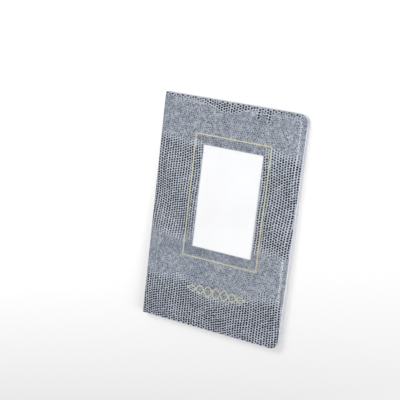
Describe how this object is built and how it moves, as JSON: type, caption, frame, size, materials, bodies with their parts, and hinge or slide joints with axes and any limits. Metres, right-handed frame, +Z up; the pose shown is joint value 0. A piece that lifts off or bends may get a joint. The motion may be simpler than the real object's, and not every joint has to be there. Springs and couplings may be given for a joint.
{
  "type": "photo album",
  "caption": "Soft-covered pocket photo album with a die-cut window and foil line on the front cover, and top-loading sleeve pages welded at the spine.",
  "frame": {"origin": "middle of the album's underside: it lies on its back cover", "axes": "+X from the spine to the fore-edge, +Y from the foot of the cover to its head, +Z up through the pages to the front cover"},
  "size_m": [0.113, 0.17, 0.0063],
  "materials": {
    "grained_vinyl": "embossed with a fine two-tone scale grain, satin",
    "white_lining": "smooth satin vinyl",
    "binding_vinyl": "smooth satin vinyl",
    "stiffener_board": "plain grey board",
    "sleeve_film": "clear polypropylene sleeves, milky where they lie on each other",
    "window_film": "clear glossy film",
    "white_card": "plain matt white card",
    "gold_foil": "pale gold hot-stamped foil"
  },
  "bodies": {
    "back_cover": {"back_skin": "grained_vinyl", "back_board": "stiffener_board", "back_lining": "white_lining"},
    "pages": {"spine_skin": "grained_vinyl", "binding_strip": "binding_vinyl", "page_block": "sleeve_film"},
    "front_cover": {"front_skin": "grained_vinyl", "front_board": "stiffener_board", "front_lining": "white_lining", "window_film": "window_film", "insert_card": "white_card", "foil_line": "gold_foil", "foil_braid": "gold_foil"}
  },
  "joints": [
    {"name": "back_fold", "type": "hinge", "parent": "back_cover", "child": "pages", "pos_m": [-0.0553, 0, 0.00062], "axis": [0, -1, 0], "range_deg": [0, 180]},
    {"name": "front_fold", "type": "hinge", "parent": "pages", "child": "front_cover", "pos_m": [-0.0553, 0, 0.00572], "axis": [0, -1, 0], "range_deg": [0, 180]}
  ]
}
